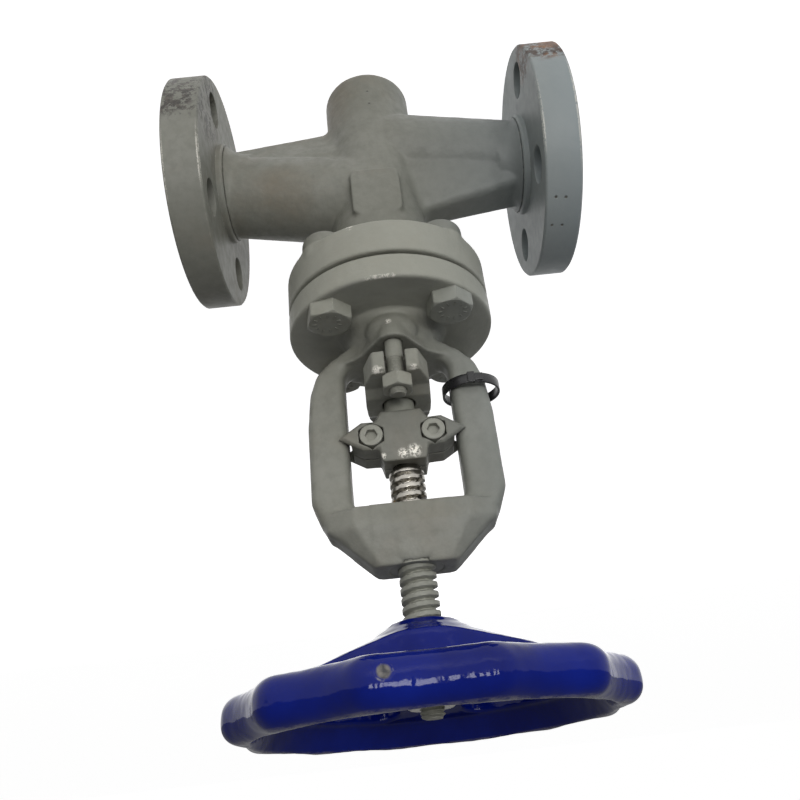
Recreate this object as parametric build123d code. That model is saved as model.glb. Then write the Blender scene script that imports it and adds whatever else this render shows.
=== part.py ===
from build123d import *
import os
from math import cos, radians, sin, sqrt, tan

# Flanged globe stop valve, NPS 1 class 600, with a rising outside-screw spindle.
# Millimetres. Origin: the pipe axis meets the spindle axis. +Z runs up the spindle
# to the handwheel, and +X points along the pipe, out of the outlet flange.
# The valve is drawn closed: the disc is on its seat.

# Pipe ends
FACE_TO_FACE = 216.0
PIPE_FLANGE_D = 124.0
PIPE_FLANGE_T = 18.6
RAISED_FACE_D = 50.8
RAISED_FACE_H = 6.4
PIPE_PCD = 88.9
PIPE_HOLE_D = 19.0
PIPE_HOLES = 4
HUB_D = 54.0
HUB_L = 3.5
HUB_FLARE = 12.0
PORT_D = 25.0

# Forged body
NECK_R = 22.0
NECK_ROOT_R = 24.5
NECK_TILT = 0.172  # rise of a neck's axis for each millimetre towards the spindle axis
BARREL_R = 24.2
BARREL_BOTTOM = -61.5
BARREL_TOP_R = 27.0
WEB_EDGE = 7.0  # half thickness of the web at its edge
WEB_ROOT = 16.0  # and beside the neck
WEB_ROUND = 5.0
WEB_BLEND = 6.0
CHAMBER_R = 19.0
CHAMBER_FLOOR = 8.0
PASSAGE_RISE = 22.0
PAD_W = 26.0
PAD_Z = (17.0, 47.0)
PAD_FACE = 26.4

# Bonnet joint
JOINT_D = 100.0
BODY_FLANGE_Z = (73.7, 91.4)
BONNET_FLANGE_Z = (93.3, 106.2)
JOINT_PCD = 79.0
BOLT_D = 12.0
BOLT_AF = 19.0
BOLT_HEAD_H = 7.5
BOSS_R = 11.0
BOSS_Z = 64.8
GASKET_R = (20.0, 28.0)
GASKET_Z = 89.9

# Bonnet neck and stuffing box
FOOT_R = 26.5
NECK_TOP = 124.0
STUD_Y = 22.0
STUD_D = 8.0
STUD_TOP = 151.0
EAR_R = 8.6
COLLAR_TAPER = 16
BOX_R = 12.0
BOX_FLOOR = 100.0
STEM_R = 7.0
LIFT = 12.0
RUNNING = 0.06  # radial clearance of a sliding or turning fit

# Gland
GLAND_FOOT = 131.5
GLAND_CROWN = 144.6
GLAND_TIP = 29.5
GLAND_SEAT = 142.0
GLAND_W = 30.8

# Yoke
ARM_OUT = 43.0
ARM_IN = 24.6
ARM_HALF_DEPTH = 8.8
ARM_ROUND = 4.5
BRIDGE_Z = (198.0, 223.8)
BRIDGE_BEND_Z = 207.5
BRIDGE_HALF_DEPTH = 15.0
BUSH_R = 11.5

# Coupling on the stem and spindle
COUPLING_Z = 164.0
COUPLING_FACE = 11.6
COUPLING_SPLIT = 0.4
TIP_X = 29.0
SCREW_X = 14.0
SCREW_D = 6.0
SCREW_SEAT = 6.4

# Spindle and handwheel
SPINDLE_R = 8.0
HUB_SEAT_Z = 246.0
HUB_TOP_Z = 269.0
WHEEL_Z = (269.0, 287.4)
WHEEL_CREST_R = 80.9
WHEEL_VALLEY_R = 76.8
WHEEL_INNER_R = 66.0
WHEEL_ROUND = 7.9
LOBES = 12
LOBE_R = 13.0
SPOKES = 3
SPOKE_W = 29.0

SEAM = 0.05  # gap left round a threaded or pressed shank


def rod(radius, z0, z1, x=0.0, y=0.0):
    return Pos(x, y, z0) * extrude(Circle(radius), z1 - z0)


def tube(outer, inner, z0, z1, x=0.0, y=0.0):
    return Pos(x, y, z0) * extrude(Circle(outer) - Circle(inner), z1 - z0)


def hexagon(across_flats, z0, z1, x=0.0, y=0.0, turn=0.0):
    shape = RegularPolygon(across_flats / 2, 6, major_radius=False, rotation=turn)
    return Pos(x, y, z0) * extrude(shape, z1 - z0)


def hex_chamfered(across_flats, z0, z1, x=0.0, y=0.0, turn=0.0, both=False):
    """A hexagon whose corners are turned off by a 30 degree cone at the top, or at both ends."""
    corner = across_flats / sqrt(3) + 0.1
    drop = (corner - across_flats / 2) * tan(radians(30))
    foot = [(across_flats / 2, z0), (corner, z0 + drop)] if both else [(corner, z0)]
    turned = revolved((0, z0), *foot, (corner, z1 - drop), (across_flats / 2, z1), (0, z1))
    return hexagon(across_flats, z0, z1, x, y, turn) & (Pos(x, y, 0) * turned)


def revolved(*points):
    """A solid turned about Z from (radius, height) points."""
    return revolve(Plane.XZ * make_face(Polyline(*points, close=True)), Axis.Z)


def along(start, end, radius):
    """A round bar between two points."""
    start, end = Vector(*start), Vector(*end)
    return Plane(start, z_dir=end - start) * extrude(Circle(radius), (end - start).length)


def bolt_places(pcd):
    half = pcd / 2 * cos(radians(45))
    return [(sx * half, sy * half) for sx in (1, -1) for sy in (1, -1)]


def neck_height(x):
    """Height of the outlet neck's axis at a distance x from the spindle axis."""
    return NECK_TILT * (FACE_TO_FACE / 2 - RAISED_FACE_H - 2 - x)


def half_body_outlet():
    """The outlet neck, with the web under it. The inlet side is the same turned half round Y."""
    end = FACE_TO_FACE / 2 - RAISED_FACE_H - PIPE_FLANGE_T - HUB_L
    outer = Plane((end, 0, neck_height(end)), x_dir=(0, 1, 0), z_dir=(1, 0, 0)) * Circle(NECK_R)
    inner = Plane((0, 0, neck_height(0)), x_dir=(0, 1, 0), z_dir=(1, 0, 0)) * Circle(NECK_ROOT_R)
    neck = loft([inner, outer])
    # The neck flares out in a hollow curve to meet the flange's hub.
    lip = HUB_D / 2 - 0.4
    flare = make_face([
        ThreePointArc((end - HUB_FLARE, 20.4), (end - 4.4, 22.2), (end, lip)),
        Line((end, lip), (end, 10)),
        Line((end, 10), (end - HUB_FLARE, 10)),
        Line((end - HUB_FLARE, 10), (end - HUB_FLARE, 20.4)),
    ])
    neck += revolve(Plane.XZ * flare, Axis.X)
    # The web leaves the neck at its widest and thins to its rounded edge.
    ends = [(5, -36.4), (end, -21.4)]
    sections = []
    for x, low in ends:
        thin = (-8 - low) / 25
        edge = WEB_ROOT + (WEB_EDGE - WEB_ROOT) * thin
        shape = make_face(Polyline(
            (-WEB_ROOT, 0),
            (-WEB_ROOT, -8),
            (-edge, low),
            (edge, low),
            (WEB_ROOT, -8),
            (WEB_ROOT, 0),
            close=True,
        ))
        corners = shape.vertices().group_by(Axis.Y)[0]
        sections.append(Plane((x, 0, 0), x_dir=(0, 1, 0), z_dir=(1, 0, 0)) * fillet(corners, WEB_ROUND))
    return neck, loft(sections)


def body():
    neck, web = half_body_outlet()
    barrel = rod(BARREL_R, BARREL_BOTTOM, BODY_FLANGE_Z[0])
    barrel = fillet(barrel.edges().filter_by(GeomType.CIRCLE).sort_by(Axis.Z)[0], 6)
    barrel = barrel + web + Rot(0, 180, 0) * web
    roots = [
        edge for edge in barrel.edges()
        if abs(Vector(edge.center().X, edge.center().Y).length - BARREL_R) < 0.8
        and 1 < abs(edge.center().Z) < 34 and edge.length < 2 * BARREL_R
    ]
    barrel = fillet(roots, WEB_BLEND)
    barrel += revolved(
        (0, 32),
        (BARREL_R, 32),
        (BARREL_TOP_R, 50),
        (BARREL_TOP_R, BODY_FLANGE_Z[0]),
        (JOINT_D / 2, BODY_FLANGE_Z[0]),
        (JOINT_D / 2, BODY_FLANGE_Z[1]),
        (0, BODY_FLANGE_Z[1]),
    )
    barrel = barrel + neck + Rot(0, 180, 0) * neck
    for x, y in bolt_places(JOINT_PCD):
        boss = rod(BOSS_R, BOSS_Z, BODY_FLANGE_Z[0] + 4, x, y)
        barrel += fillet(boss.edges().sort_by(Axis.Z)[0], 4.5)
    pad = Pos(0, -PAD_FACE / 2 - 8, sum(PAD_Z) / 2) * Box(PAD_W, PAD_FACE - 16, PAD_Z[1] - PAD_Z[0])
    pad = fillet(pad.edges().filter_by(Axis.Y), 4)
    pad = fillet(pad.faces().sort_by(Axis.Y)[0].edges(), 0.9)
    barrel += pad
    # Flow passages: the inlet comes up under the seat, and the outlet leaves above it.
    end = FACE_TO_FACE / 2 - RAISED_FACE_H - PIPE_FLANGE_T - HUB_L
    inner = (8, 0, PASSAGE_RISE)
    slope = PASSAGE_RISE / (end - inner[0])
    passage = along((end + 5, 0, -5 * slope), inner, PORT_D / 2)
    barrel -= rod(CHAMBER_R, CHAMBER_FLOOR, BODY_FLANGE_Z[1] + 1)
    barrel -= rod(17.5, 2, CHAMBER_FLOOR + 1)
    barrel -= rod(PORT_D / 2 + 0.5, -30, 3)
    barrel -= Pos(0, 0, -30) * Sphere(PORT_D / 2 + 0.5)
    barrel -= passage
    barrel -= Rot(0, 180, 0) * passage
    # Gasket recess and tapped holes.
    barrel -= rod(GASKET_R[1] + 0.3, GASKET_Z, BODY_FLANGE_Z[1] + 1)
    for x, y in bolt_places(JOINT_PCD):
        barrel -= rod(BOLT_D / 2 + SEAM, BOSS_Z + 4, BODY_FLANGE_Z[1] + 1, x, y)
    return barrel


def pipe_flange(sign):
    face = FACE_TO_FACE / 2
    back = face - RAISED_FACE_H
    front = back - PIPE_FLANGE_T
    hub = front - HUB_L
    flange = revolved(
        (PORT_D / 2, hub),
        (HUB_D / 2, hub),
        (HUB_D / 2, front),
        (PIPE_FLANGE_D / 2, front),
        (PIPE_FLANGE_D / 2, back),
        (RAISED_FACE_D / 2, back),
        (RAISED_FACE_D / 2, face),
        (PORT_D / 2, face),
    )
    rims = [
        edge for edge in flange.edges().filter_by(GeomType.CIRCLE)
        if abs(edge.radius - PIPE_FLANGE_D / 2) < 0.1 or abs(edge.radius - RAISED_FACE_D / 2) < 0.1
    ]
    outer_rims = [edge for edge in rims if abs(edge.center().Z - back) > 0.1 or edge.radius > HUB_D / 2]
    flange = chamfer(outer_rims, 0.8)
    inner_corner = [
        edge for edge in flange.edges().filter_by(GeomType.CIRCLE)
        if abs(edge.radius - HUB_D / 2) < 0.1 and abs(edge.center().Z - hub) < 0.1
    ]
    flange = fillet(inner_corner, 1.5)
    for x, y in bolt_places(PIPE_PCD):
        flange -= rod(PIPE_HOLE_D / 2, front - 1, back + 1, x, y)
    return Rot(0, 90 * sign, 0) * flange


def seat_ring():
    return revolved(
        (12, 2.1),
        (17.4, 2.1),
        (17.4, CHAMBER_FLOOR),
        (16.4, 11),
        (13.8, 11),
        (12, 9.2),
    )


def collar_plan():
    """Plan of the bonnet's neck: a prow round each gland stud, swept back to the yoke arms."""
    prow = (0, STUD_Y + EAR_R)
    cheek = (7.2, STUD_Y + 4.7)
    waist = (14.5, 16)
    arm = (28, ARM_HALF_DEPTH)
    curves = []
    for b in (1, -1):
        curves.append(ThreePointArc((cheek[0], b * cheek[1]), (0, b * prow[1]), (-cheek[0], b * cheek[1])))
        for a in (1, -1):
            start, end = (a * waist[0], b * waist[1]), (a * arm[0], b * arm[1])
            curves.append(Line((a * cheek[0], b * cheek[1]), start))
            curves.append(TangentArc(start, end, tangent=(a * 0.56, -b * 0.83)))
    for a in (1, -1):
        curves.append(Line((a * arm[0], arm[1]), (a * arm[0], -arm[1])))
    return make_face(curves)


def bridge_plan(front, end, depth):
    """Plan of the bridge: a flat front and back, sloping away to the arms at both ends."""
    back = min(ARM_HALF_DEPTH, depth - 2)
    points = [
        (-front, -depth),
        (front, -depth),
        (end, -back),
        (end, back),
        (front, depth),
        (-front, depth),
        (-end, back),
        (-end, -back),
    ]
    return make_face(Polyline(*points, close=True))


def yoke_bridge():
    z0, z1 = BRIDGE_Z
    lower = Pos(0, 0, z0) * extrude(bridge_plan(24.5, 37, BRIDGE_HALF_DEPTH), BRIDGE_BEND_Z - z0)
    upper = loft([
        Pos(0, 0, BRIDGE_BEND_Z) * bridge_plan(24.5, 35, BRIDGE_HALF_DEPTH),
        Pos(0, 0, z1) * bridge_plan(14.5, 17.6, 10.8),
    ])
    return lower + upper


def bonnet_yoke():
    z0, z1 = BONNET_FLANGE_Z
    base = revolved(
        (0, 85),
        (CHAMBER_R - 0.3, 85),
        (CHAMBER_R - 0.3, z0),
        (JOINT_D / 2, z0),
        (JOINT_D / 2, z1),
        (FOOT_R, z1),
        (22, 112),
        (20, 116),
        (20, NECK_TOP),
        (0, NECK_TOP),
    )
    rim = [
        edge for edge in base.edges().filter_by(GeomType.CIRCLE)
        if abs(edge.radius - JOINT_D / 2) < 0.1
    ]
    base = chamfer(rim, 0.8)
    # Yoke outline in the XZ plane: cup at the root, straight arms, sloping shoulders.
    right = [
        (20, 113.5),
        (31, 120),
        (38, 127.5),
        (41.5, 138),
        (ARM_OUT, 155),
        (ARM_OUT, 192),
        (38.5, 203.4),
        (17.6, BRIDGE_Z[1]),
    ]
    left = [(-x, z) for x, z in reversed(right)]
    outline = make_face(Polyline(*right, *left, close=True))
    outline = fillet([v for v in outline.vertices() if 115 < v.Y < 210], 8)
    window = Pos(0, (NECK_TOP + BRIDGE_Z[0]) / 2) * RectangleRounded(2 * ARM_IN, BRIDGE_Z[0] - NECK_TOP, 7)
    frame = extrude(Plane.XZ * (outline - window), ARM_HALF_DEPTH, both=True)
    sides = [
        edge for edge in frame.edges()
        if abs(abs(edge.center().Y) - ARM_HALF_DEPTH) < 0.1 and 114 < edge.center().Z < BRIDGE_Z[1] - 0.5
    ]
    frame = fillet(sides, ARM_ROUND)
    collar = Pos(0, 0, NECK_TOP) * extrude(collar_plan(), -(NECK_TOP - z1), taper=COLLAR_TAPER)
    collar = collar & extrude(Plane.XZ * outline, STUD_Y + EAR_R + 1, both=True)
    bonnet = base + frame + collar + yoke_bridge()
    bonnet -= rod(11, 84, 97)
    bonnet -= rod(STEM_R + 0.3, 96, BOX_FLOOR + 1)
    bonnet -= rod(BOX_R, BOX_FLOOR, NECK_TOP + 1)
    bonnet -= rod(BUSH_R, BRIDGE_Z[0] - 1, BRIDGE_Z[1] + 1)
    for x, y in bolt_places(JOINT_PCD):
        bonnet -= rod(BOLT_D / 2 + 0.6, z0 - 1, z1 + 1, x, y)
    for side in (1, -1):
        bonnet -= rod(STUD_D / 2 + SEAM, NECK_TOP - 14, NECK_TOP + 1, 0, side * STUD_Y)
    return bonnet


def bonnet_gasket():
    return tube(GASKET_R[1], GASKET_R[0], GASKET_Z, BONNET_FLANGE_Z[0])


def bonnet_bolts():
    z1 = BONNET_FLANGE_Z[1]
    bolts = []
    for x, y in bolt_places(JOINT_PCD):
        head = hex_chamfered(BOLT_AF, z1, z1 + BOLT_HEAD_H, x, y, turn=15)
        bolts.append(head + rod(BOLT_D / 2, BOSS_Z + 5, z1 + 1, x, y))
    return bolts


def backseat_bush():
    return revolved(
        (STEM_R + RUNNING, 88),
        (STEM_R + 2, 85.2),
        (11, 85.2),
        (11, 97),
        (STEM_R + RUNNING, 97),
    )


def packing_rings():
    pitch = 4.5
    return [
        tube(BOX_R, STEM_R + RUNNING, BOX_FLOOR + n * pitch, BOX_FLOOR + (n + 1) * pitch - 0.1)
        for n in range(4)
    ]


def gland_bush():
    return revolved(
        (STEM_R + 0.3, 118),
        (BOX_R - 0.1, 118),
        (BOX_R - 0.1, 126),
        (13, 126),
        (13, 130),
        (11.5, 131.5),
        (STEM_R + 0.3, 131.5),
    )


def gland_flange():
    """Bowed clamp plate, thickest at the stem, with a forked prong round each stud."""
    right = [
        (GLAND_W / 2, 0),
        (GLAND_W / 2 - 0.5, 16.5),
        (10.4, GLAND_TIP),
    ]
    points = right + [(-x, y) for x, y in reversed(right)]
    points += [(-x, -y) for x, y in right[1:]] + [(x, -y) for x, y in reversed(right[1:])]
    outline = make_face(Polyline(*points, close=True))
    outline = fillet([v for v in outline.vertices() if abs(v.Y) > 1], 2.2)
    back = [
        (8.5, GLAND_CROWN),
        (14.2, GLAND_SEAT),
        (GLAND_TIP - 1.8, GLAND_SEAT),
        (GLAND_TIP + 1, GLAND_SEAT - 2.4),
        (GLAND_TIP + 1, GLAND_FOOT),
    ]
    front = [(-y, z) for y, z in reversed(back)]
    profile = Plane.YZ * make_face(Polyline(*front, *back, close=True))
    plate = Pos(0, 0, GLAND_FOOT) * extrude(outline, GLAND_CROWN - GLAND_FOOT)
    plate = plate & extrude(profile, GLAND_W, both=True)
    for side in (1, -1):
        slot = Pos(0, side * (STUD_Y + 10)) * Rectangle(9.2, 20) + Pos(0, side * STUD_Y) * Circle(4.6)
        plate -= Pos(0, 0, GLAND_FOOT - 1) * extrude(slot, GLAND_CROWN - GLAND_FOOT + 2)
    plate -= rod(STEM_R + 0.8, GLAND_FOOT - 1, GLAND_CROWN + 1)
    # Two low pads for the size marks.
    for x in (13.6, -13.6):
        plate += Pos(x, 4.5, GLAND_CROWN) * Box(2.2, 7, 0.6)
    return plate


def gland_studs():
    studs = []
    for side in (1, -1):
        stud = rod(STUD_D / 2, NECK_TOP - 13, STUD_TOP, 0, side * STUD_Y)
        studs.append(chamfer(stud.edges().sort_by(Axis.Z)[-1], 0.9))
    return studs


def gland_nuts():
    return [
        hex_chamfered(13, GLAND_SEAT, GLAND_SEAT + 6.6, 0, side * STUD_Y, turn=28, both=True)
        - rod(STUD_D / 2, GLAND_SEAT - 1, STUD_TOP, 0, side * STUD_Y)
        for side in (1, -1)
    ]


def yoke_bush():
    return tube(BUSH_R, SPINDLE_R + RUNNING, BRIDGE_Z[0] - 0.6, BRIDGE_Z[1] - 0.4)


def cable_tie():
    """A strap lying loosely round the inlet-side arm, with its low head in front."""
    centre = Pos(-34.6, -0.5, 141.7) * Rot(-19, 0, 0)
    inner = Ellipse(12.6, 13.2)
    band = extrude(Ellipse(13.6, 14.2) - inner, 4.8)
    head = Pos(0.6, -14.4, 2.4) * Box(3.4, 2.2, 5.2)
    return centre * Pos(0, 0, -2.4) * (band + (head - extrude(inner, 10)))


def lower_stem():
    """Stem with a button that carries the disc and a collar that stops it on the back seat."""
    z = COUPLING_Z
    stop = 87.0 - LIFT
    return revolved(
        (0, 12.0),
        (6.5, 12.0),
        (6.5, 16.5),
        (4.8, 16.5),
        (4.8, 19.5),
        (STEM_R, 19.5),
        (STEM_R, stop - 6.4),
        (9.5, stop - 3.4),
        (9.5, stop - 2.4),
        (STEM_R, stop),
        (STEM_R, z - 9),
        (5, z - 9),
        (5, z - 5),
        (STEM_R, z - 5),
        (STEM_R, z + 1.2),
        (0, z + 1.2),
    )


def disc():
    """Cone-faced disc. Its skirt holds the stem's button, and its cone meets the seat at 45 degrees."""
    return revolved(
        (0, 8.6),
        (11.2, 8.6),
        (15.6, 13),
        (15.6, 21),
        (14.6, 22),
        (11.5, 22),
        (11.5, 16.6),
        (6.6, 16.6),
        (6.6, 11.9),
        (0, 11.9),
    )


def disc_retainer():
    return tube(11.4, 5.0, 16.7, 19.3)


def coupling_outline():
    z = COUPLING_Z
    right = [
        (0, z + 12.9),
        (9.6, z + 12.9),
        (11.2, z + 6.9),
        (18.1, z + 6.7),
        (TIP_X, z),
        (18.2, z - 7.2),
        (12, z - 7),
        (9.2, z - 11.8),
        (0, z - 11.8),
    ]
    left = [(-x, h) for x, h in reversed(right[1:-1])]
    return make_face(Polyline(*right, *left, close=True))


def coupling_half(side):
    """One clamp half. side is -1 for the front one. Its points lie on the yoke arms and guide it."""
    z = COUPLING_Z
    whole = extrude(Plane.XZ * coupling_outline(), COUPLING_FACE, both=True)
    # The spout towards the handwheel leans back a little.
    lean = Plane.YZ * make_face(Polyline(
        (0, z - 20),
        (side * COUPLING_FACE, z - 20),
        (side * COUPLING_FACE, z + 7.3),
        (side * (COUPLING_FACE - 1.5), z + 14),
        (0, z + 14),
        close=True,
    ))
    whole = whole & extrude(lean, 2 * TIP_X, both=True)
    depth = Pos(0, side * (COUPLING_FACE + COUPLING_SPLIT) / 2, z)
    half = whole & (depth * Box(2 * (ARM_IN - 1.2), COUPLING_FACE - COUPLING_SPLIT, 40))
    guide = ARM_HALF_DEPTH + 0.3
    half += whole & (Pos(0, side * (COUPLING_FACE + guide) / 2, z) * Box(80, COUPLING_FACE - guide, 40))
    face = half.faces().sort_by(Axis.Y)[0 if side < 0 else -1]
    half = chamfer(face.edges(), 1.2)
    half -= rod(STEM_R, z - 14, z - 9)
    half -= rod(5.1, z - 9, z - 5)
    half -= rod(STEM_R, z - 5, z + 1.6)
    half -= rod(SPINDLE_R + RUNNING, z + 1.6, z + 7.2)
    half -= rod(5.5 + RUNNING, z + 7.2, z + 14)
    for x in (SCREW_X, -SCREW_X):
        half -= Pos(x, 0, z) * Rot(90, 0, 0) * extrude(Circle(SCREW_D / 2 + 0.2), 20, both=True)
        recess = RegularPolygon(11.2 / 2, 6, major_radius=False, rotation=30)
        half -= Pos(x, side * SCREW_SEAT, z) * Rot(-90 * side, 0, 0) * extrude(recess, 10)
    return half


def coupling_screws():
    screws = []
    for x in (SCREW_X, -SCREW_X):
        head = extrude(Circle(5.2), 5.6) - Pos(0, 0, 3) * extrude(RegularPolygon(2.5, 6, major_radius=False), 4)
        shank = Pos(0, 0, -2 * SCREW_SEAT - 4.8) * extrude(Circle(SCREW_D / 2), 2 * SCREW_SEAT + 5)
        screws.append(Pos(x, -SCREW_SEAT, COUPLING_Z) * Rot(90, 0, 0) * (head + shank))
    return screws


def coupling_nuts():
    nuts = []
    for x in (SCREW_X, -SCREW_X):
        nut = hex_chamfered(10, 0, 5, both=False, turn=30) - rod(SCREW_D / 2, -1, 6)
        nuts.append(Pos(x, SCREW_SEAT, COUPLING_Z) * Rot(-90, 0, 0) * nut)
    return nuts


def spindle():
    z = COUPLING_Z
    return revolved(
        (0, z + 1.8),
        (7.2, z + 1.8),
        (SPINDLE_R, z + 2.6),
        (SPINDLE_R, z + 7.1),
        (5.5, z + 7.1),
        (5.5, z + 13.3),
        (SPINDLE_R - 1.2, z + 13.3),
        (SPINDLE_R, z + 14.5),
        (SPINDLE_R, HUB_SEAT_Z),
        (7, HUB_SEAT_Z),
        (7, HUB_TOP_Z - 0.6),
        (5, HUB_TOP_Z - 0.2),
        (5, HUB_TOP_Z + 12.8),
        (3.8, HUB_TOP_Z + 14),
        (0, HUB_TOP_Z + 14),
    )


def wheel_outline():
    """Round lobes joined by wide hollows, all in tangent arcs, with a hollow at the front."""
    step = 360 / LOBES
    centre = WHEEL_CREST_R - LOBE_R
    across = 2 * centre * cos(radians(step / 2))
    # The hollow's radius makes its arc touch both neighbouring lobes.
    hollow = (
        (centre ** 2 + WHEEL_VALLEY_R ** 2 - across * WHEEL_VALLEY_R - LOBE_R ** 2)
        / (2 * LOBE_R - 2 * WHEEL_VALLEY_R + across)
    )
    pivot = WHEEL_VALLEY_R + hollow
    curves = []
    for n in range(LOBES):
        middle = radians(-90 + (n + 0.5) * step)
        before, after = middle - radians(step / 2), middle + radians(step / 2)
        lobe = Vector(centre * cos(middle), centre * sin(middle))
        touch = []
        for side in (before, after):
            dip = Vector(pivot * cos(side), pivot * sin(side))
            touch.append(lobe + (dip - lobe).normalized() * LOBE_R)
        crest = Vector(WHEEL_CREST_R * cos(middle), WHEEL_CREST_R * sin(middle))
        curves.append(ThreePointArc(touch[0], crest, touch[1]))
        nxt = radians(-90 + (n + 1.5) * step)
        following = Vector(centre * cos(nxt), centre * sin(nxt))
        dip = Vector(pivot * cos(after), pivot * sin(after))
        start = following + (dip - following).normalized() * LOBE_R
        valley = Vector(WHEEL_VALLEY_R * cos(after), WHEEL_VALLEY_R * sin(after))
        curves.append(ThreePointArc(touch[1], valley, start))
    return make_face(curves)


def wheel_window():
    """One opening between two spokes, before it is turned to its place."""
    ring = Circle(WHEEL_INNER_R - 2) - Circle(25)
    reach = 2 * WHEEL_INNER_R
    spread = radians(180 / SPOKES)
    wedge = make_face(Polyline(
        (0, 0),
        (reach * cos(spread), reach * sin(spread)),
        (reach, 0),
        (reach * cos(spread), -reach * sin(spread)),
        close=True,
    ))
    shift = SPOKE_W / 2 / sin(spread)
    return fillet((ring & (Pos(shift, 0) * wedge)).vertices(), 7)


def handwheel():
    z0, z1 = WHEEL_Z
    rim = Pos(0, 0, z0) * extrude(wheel_outline(), z1 - z0)
    for z in WHEEL_Z:
        crest = [edge for edge in rim.edges() if edge.length > 1 and abs(edge.position_at(0.5).Z - z) < 0.1]
        rim = fillet(crest, WHEEL_ROUND)
    # The inside of the rim widens towards the open side.
    rim -= revolved(
        (0, z0 - 1),
        (WHEEL_INNER_R, z0 - 1),
        (WHEEL_INNER_R, z0 + 8),
        (WHEEL_INNER_R + 3.2, z1 - 1.2),
        (WHEEL_INNER_R + 4.6, z1 + 0.1),
        (0, z1 + 0.1),
    )
    dish = revolved(
        (7.02, HUB_SEAT_Z),
        (14, HUB_SEAT_Z),
        (17, HUB_SEAT_Z + 2.5),
        (24, HUB_SEAT_Z + 6.5),
        (WHEEL_INNER_R + 2, z0 + 1.5),
        (WHEEL_INNER_R + 2, z0 + 8),
        (WHEEL_INNER_R - 3, z0 + 7.2),
        (30, HUB_SEAT_Z + 17),
        (21, HUB_SEAT_Z + 18),
        (18, HUB_TOP_Z),
        (7.02, HUB_TOP_Z),
    )
    for n in range(SPOKES):
        cut = extrude(wheel_window(), 60)
        dish -= Pos(0, 0, 240) * Rot(0, 0, -90 + n * 360 / SPOKES) * cut
    return rim + dish


def handwheel_washer():
    return tube(11, 5.1, HUB_TOP_Z, HUB_TOP_Z + 2)


def handwheel_nut():
    z = HUB_TOP_Z + 2
    return hex_chamfered(17, z, z + 8.2, turn=10, both=True) - rod(5, z - 1, z + 10)


NODES = {
    "body": body,
    "inlet_flange": lambda: pipe_flange(-1),
    "outlet_flange": lambda: pipe_flange(1),
    "seat_ring": seat_ring,
    "bonnet_gasket": bonnet_gasket,
    "bonnet_yoke": bonnet_yoke,
    "bonnet_bolts": bonnet_bolts,
    "backseat_bush": backseat_bush,
    "packing_rings": packing_rings,
    "gland_bush": gland_bush,
    "gland_flange": gland_flange,
    "gland_studs": gland_studs,
    "gland_nuts": gland_nuts,
    "yoke_bush": yoke_bush,
    "cable_tie": cable_tie,
    "lower_stem": lower_stem,
    "disc": disc,
    "disc_retainer": disc_retainer,
    "coupling_front": lambda: coupling_half(-1),
    "coupling_back": lambda: coupling_half(1),
    "coupling_screws": coupling_screws,
    "coupling_nuts": coupling_nuts,
    "spindle": spindle,
    "handwheel": handwheel,
    "handwheel_washer": handwheel_washer,
    "handwheel_nut": handwheel_nut,
}

os.makedirs("parts", exist_ok=True)
for name, make in NODES.items():
    shape = make()
    if isinstance(shape, list):
        shape = Compound(children=shape)
    export_step(shape, f"parts/{name}.step")
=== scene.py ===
import math

import bmesh
import bpy
from mathutils import Matrix, Vector, noise


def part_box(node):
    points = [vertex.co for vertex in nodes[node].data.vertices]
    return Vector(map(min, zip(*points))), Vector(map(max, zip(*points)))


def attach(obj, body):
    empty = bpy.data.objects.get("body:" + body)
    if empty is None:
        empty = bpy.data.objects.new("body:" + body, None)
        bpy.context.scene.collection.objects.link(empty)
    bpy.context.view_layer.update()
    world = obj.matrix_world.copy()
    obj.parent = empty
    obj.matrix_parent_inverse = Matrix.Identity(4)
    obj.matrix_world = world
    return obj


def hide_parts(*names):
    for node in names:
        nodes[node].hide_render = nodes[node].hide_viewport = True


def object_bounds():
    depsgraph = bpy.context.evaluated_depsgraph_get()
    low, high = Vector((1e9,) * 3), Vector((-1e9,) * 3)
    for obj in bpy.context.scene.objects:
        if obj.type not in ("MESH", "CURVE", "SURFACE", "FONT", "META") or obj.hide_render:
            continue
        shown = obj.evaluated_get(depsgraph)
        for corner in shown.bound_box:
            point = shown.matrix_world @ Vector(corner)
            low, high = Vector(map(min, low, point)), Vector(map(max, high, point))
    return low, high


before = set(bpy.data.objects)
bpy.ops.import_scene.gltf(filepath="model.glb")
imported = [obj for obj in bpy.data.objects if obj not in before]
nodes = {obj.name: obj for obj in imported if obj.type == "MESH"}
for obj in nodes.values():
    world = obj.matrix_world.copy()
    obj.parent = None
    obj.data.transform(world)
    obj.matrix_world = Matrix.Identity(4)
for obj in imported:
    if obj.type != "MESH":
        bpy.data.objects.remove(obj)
cad_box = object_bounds()

MM = 0.001

# ---------------------------------------------------------------- sizes taken from the frame
BOLT_HEAD_HEIGHT = 7.5 * MM
spindle_low, spindle_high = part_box("spindle")
spindle_radius = spindle_high[0]
bonnet_low, bonnet_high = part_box("bonnet_yoke")
wheel_low, wheel_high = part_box("handwheel")
body_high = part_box("body")[1]
flange_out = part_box("outlet_flange")
flange_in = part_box("inlet_flange")
rim_out = (flange_out[0][0] + flange_out[1][0]) / 2
rim_in = (flange_in[0][0] + flange_in[1][0]) / 2
bonnet_flange_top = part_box("bonnet_bolts")[1][2] - BOLT_HEAD_HEIGHT

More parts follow.
